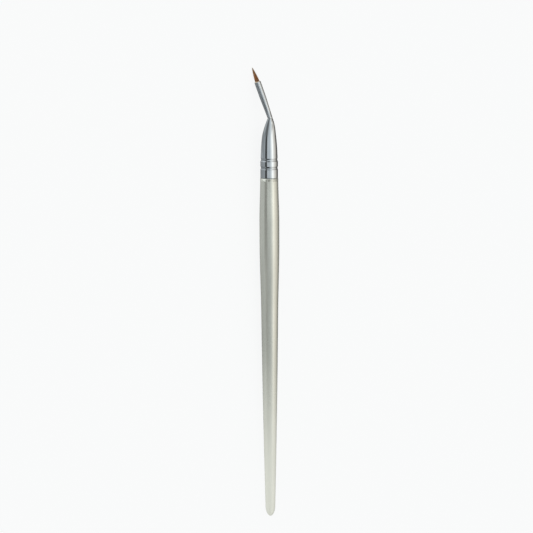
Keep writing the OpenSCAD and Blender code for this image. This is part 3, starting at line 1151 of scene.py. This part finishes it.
@dataclass(frozen=True)
class Studio:
    """A pale floor under soft light, with bands that only gloss shows.

    A turn of 0.25 is below the brush, 0.5 on its +x side and 0.75 above it. The zones are named
    after what they show on. Scoop is for slopes that face the head and drop for those that face the
    tail. Later zones lie over earlier ones, and all of them over the belly's levels.
    """

    white: Colour = tint(251, 252, 252)
    floor_size: float = 8.0
    floor_glow: float = 0.9
    dome_side: float = 0.95
    dome_top: float = 0.8
    ahead: Colour = grey(0.75, -0.02)
    behind: Colour = grey(0.16)
    ends: tuple[float, float] = (0.8, 0.97)
    brush_pitch: float = 0.0175
    belly: Levels = greys(
        (0, 7), (48, 12), (87, 44), (130, 43), (208, 46), (430, 18), (510, 6), (576, 22),
        (626, 48), (709, 82), (750, 110), (780, 86), (814, 55), (847, 38), (911, 28), (944, 25),
        (975, 10), (1000, 7),
    )
    waist: Levels = greys(
        (0, 17), (48, 20), (87, 18), (130, 15), (208, 17), (430, 15), (510, 10), (576, 30),
        (626, 56), (709, 80), (750, 98), (780, 72), (814, 55), (847, 45), (911, 34), (944, 24),
        (975, 18), (1000, 17),
    )
    tail: Levels = greys(
        (0, 44), (48, 60), (90, 58), (130, 44), (208, 36), (430, 14), (510, 14), (600, 30),
        (690, 46), (750, 40), (800, 22), (850, 6), (900, 4), (944, 18), (1000, 44),
    )
    barrel: Levels = greys(
        (0, 6), (45, 10), (70, 42), (115, 31), (200, 31), (314, 28), (430, 20), (467, 8),
        (550, 10), (600, 50), (660, 74), (712, 95), (756, 142), (800, 103), (834, 76), (872, 55),
        (957, 62), (974, 10), (1000, 6),
    )
    neck: Levels = greys(
        (0, 14), (80, 17), (115, 28), (160, 42), (250, 60), (430, 20), (500, 12), (560, 14),
        (600, 25), (640, 42), (700, 58), (760, 76), (800, 86), (830, 84), (860, 66), (920, 52),
        (950, 42), (975, 18), (1000, 14),
    )
    scoop: Levels = greys(
        (0, 10), (24, 12), (60, 80), (115, 115), (170, 115), (244, 90), (430, 20), (547, 12),
        (612, 53), (664, 56), (710, 72), (752, 100), (792, 76), (831, 50), (872, 14), (890, 1),
        (925, 1), (944, 42), (983, 16), (1000, 10),
    )
    drop: Levels = greys(
        (0, 1), (22, 3), (38, 20), (80, 26), (244, 24), (430, 12), (547, 4), (612, 42), (664, 60),
        (710, 80), (752, 100), (792, 74), (831, 48), (869, 34), (890, 6), (944, 2), (1000, 1),
    )
    zones: tuple[Zone, ...] = (
        Zone(waist, (-0.145, -0.178)),
        Zone(tail, (-0.200, -0.232), (-0.292, -0.274)),
        Zone(barrel, (-0.128, -0.118)),
        Zone(belly, (-0.103, -0.092), (-0.052, -0.062)),
        Zone(neck, (0.12, 0.26)),
        Zone(scoop, (0.48, 0.54)),
        Zone(drop, (-0.30, -0.38)),
    )
    hue: Stops = (
        (0.00, grey(1.0, -0.01)), (0.10, grey(1.0, -0.05)), (0.40, grey(1.0)),
        (0.58, grey(1.0, 0.10)), (0.70, grey(1.0, 0.06)), (0.78, grey(1.0, 0.01)),
        (0.86, grey(1.0, -0.06)), (0.95, grey(1.0, -0.05)), (1.00, grey(1.0, -0.01)),
    )

    def build(self) -> None:
        """Makes the floor and the light."""
        self.lay_floor()
        self.light_world()

    def lay_floor(self) -> None:
        """Makes the floor. It glows where the camera sees it, and keeps its shadows."""
        half = self.floor_size / 2
        mesh = bpy.data.meshes.new("floor")
        corners = [(-half, -half, 0.0), (half, -half, 0.0), (half, half, 0.0), (-half, half, 0.0)]
        mesh.from_pydata(corners, [], [(0, 1, 2, 3)])
        material = bpy.data.materials.new("pale_floor")
        graph = emptied(material)
        lit = graph.out("ShaderNodeBsdfDiffuse", {"Color": self.white})
        glow = graph.out("ShaderNodeEmission", {"Color": self.white, "Strength": 1.0})
        seen = Term(graph, graph.add("ShaderNodeLightPath").outputs["Is Camera Ray"])
        inputs = {0: seen * self.floor_glow, 1: lit, 2: glow}
        mixed = graph.out("ShaderNodeMixShader", inputs)
        graph.add("ShaderNodeOutputMaterial", {0: mixed})
        mesh.materials.append(material)
        floor = placed("floor", mesh)
        floor.visible_glossy = False
        floor.visible_diffuse = False

    def gloss(self, graph: Graph) -> Socket:
        """Adds what gloss shows: bands round the brush, and a plain level at either end.

        Args:
            graph: The world's tree.

        Returns:
            The colour.
        """
        x, y, z = graph.split(graph.add("ShaderNodeTexCoord").outputs["Generated"])
        turn = graph.math("ARCTAN2", z, x) / (2 * math.pi) + 0.5
        lift = y + z * self.brush_pitch
        bands = self.banded(graph, turn, self.belly)
        for zone in self.zones:
            bands = graph.mixed(zone.share(lift), bands, self.banded(graph, turn, zone.levels))
        bands = graph.scaled(bands, graph.ramp(turn, self.hue))
        plain = graph.mixed(share_of(-0.01, 0.01, y), self.behind, self.ahead)
        return graph.mixed(smooth(share_of(*self.ends, abs(y))), bands, plain)

    @staticmethod
    def banded(graph: Graph, turn: Term, levels: Levels) -> Socket:
        """The grey at a turn of bands with those levels."""
        return graph.ramp(turn, [(place, grey(level)) for place, level in levels])

    def light_world(self) -> None:
        """Makes the sky: white to the camera, soft to what is matt, and banded to gloss."""
        world = bpy.data.worlds.new("studio")
        world.cycles.sampling_method = "NONE"
        bpy.context.scene.world = world
        graph = emptied(world)
        _, _, z = graph.split(graph.add("ShaderNodeTexCoord").outputs["Generated"])
        dome = graph.mixed(clamped(z), grey(self.dome_side), grey(self.dome_top))
        path = graph.add("ShaderNodeLightPath")
        is_gloss = Term(graph, path.outputs["Is Glossy Ray"])
        is_seen = Term(graph, path.outputs["Is Camera Ray"])
        sky = graph.mixed(is_seen, graph.mixed(is_gloss, dome, self.gloss(graph)), self.white)
        back = graph.out("ShaderNodeBackground", {"Color": sky, "Strength": 1.0})
        graph.add("ShaderNodeOutputWorld", {0: back})


@dataclass(frozen=True)
class Viewpoint:
    """The camera, square to the plane of the bend and raised a little towards the head."""

    lens: float = 200.0
    sensor: float = 36.0
    first_distance: float = 1.14
    rim_pixel: tuple[float, float] = (269.22, 177.75)
    tail_pixel: tuple[float, float] = (270.46, 515.6)
    raised: float = math.radians(8.2)
    clips: tuple[float, float] = (0.01, 50.0)
    rounds: int = 12

    def pixel(self, axes: Matrix, place: Vector, point: Vector) -> Vector:
        """The pixel of a point, for a camera at a place whose right, up and back are the axes."""
        x, y, z = axes @ (point - place)
        zoom = self.lens / self.sensor * PHOTO_PIXELS / -z
        return Vector((PHOTO_PIXELS / 2 + x * zoom, PHOTO_PIXELS / 2 - y * zoom))

    def build(self, pose: Matrix, handle_len: float) -> None:
        """Makes the camera, moved and turned until the handle's ends show where they should.

        Args:
            pose: Where the brush lies.
            handle_len: Length of the handle up to the ferrule's rim.
        """
        rim, tail = pose @ Vector((0.0, 0.0, handle_len)), pose @ Vector((0.0, 0.0, 0.0))
        turn = pose.to_3x3()
        tilt = Matrix.Rotation(-self.raised, 3, turn.col[0])
        axes = Matrix((turn.col[0], tilt @ turn.col[2], tilt @ -turn.col[1]))
        place = (rim + tail) / 2 + axes[2] * self.first_distance
        wanted_rim, wanted_tail = Vector(self.rim_pixel), Vector(self.tail_pixel)
        wanted = wanted_rim - wanted_tail
        for _ in range(self.rounds):
            seen_rim, seen_tail = self.pixel(axes, place, rim), self.pixel(axes, place, tail)
            seen = seen_rim - seen_tail
            spin = math.atan2(seen.y, seen.x) - math.atan2(wanted.y, wanted.x)
            axes = (Matrix.Rotation(-spin, 3, axes[2]) @ axes.transposed()).transposed()
            depth = (place - (rim + tail) / 2).dot(axes[2])
            place = place + axes[2] * depth * (seen.length / wanted.length - 1)
            off = (self.pixel(axes, place, rim) + self.pixel(axes, place, tail)) / 2
            off -= (wanted_rim + wanted_tail) / 2
            metres = depth * self.sensor / self.lens / PHOTO_PIXELS
            place = place + axes[0] * off.x * metres - axes[1] * off.y * metres
        data = bpy.data.cameras.new("camera")
        data.lens, data.sensor_width = self.lens, self.sensor
        data.clip_start, data.clip_end = self.clips
        camera = bpy.data.objects.new("camera", data)
        bpy.context.scene.collection.objects.link(camera)
        camera.matrix_world = Matrix.Translation(place) @ axes.transposed().to_4x4()
        bpy.context.scene.camera = camera
        log.info("camera: %.4f m from the brush", depth)


def main() -> None:
    """Builds the brush, the studio and the camera."""
    logging.basicConfig(level=logging.INFO, format="%(message)s")
    bpy.context.scene.view_settings.view_transform = "Standard"
    brush = Brush()
    brush.build()
    Studio().build()
    Viewpoint().build(brush.pose(), brush.handle.sizes.handle_len)


if __name__ == "__main__":
    main()
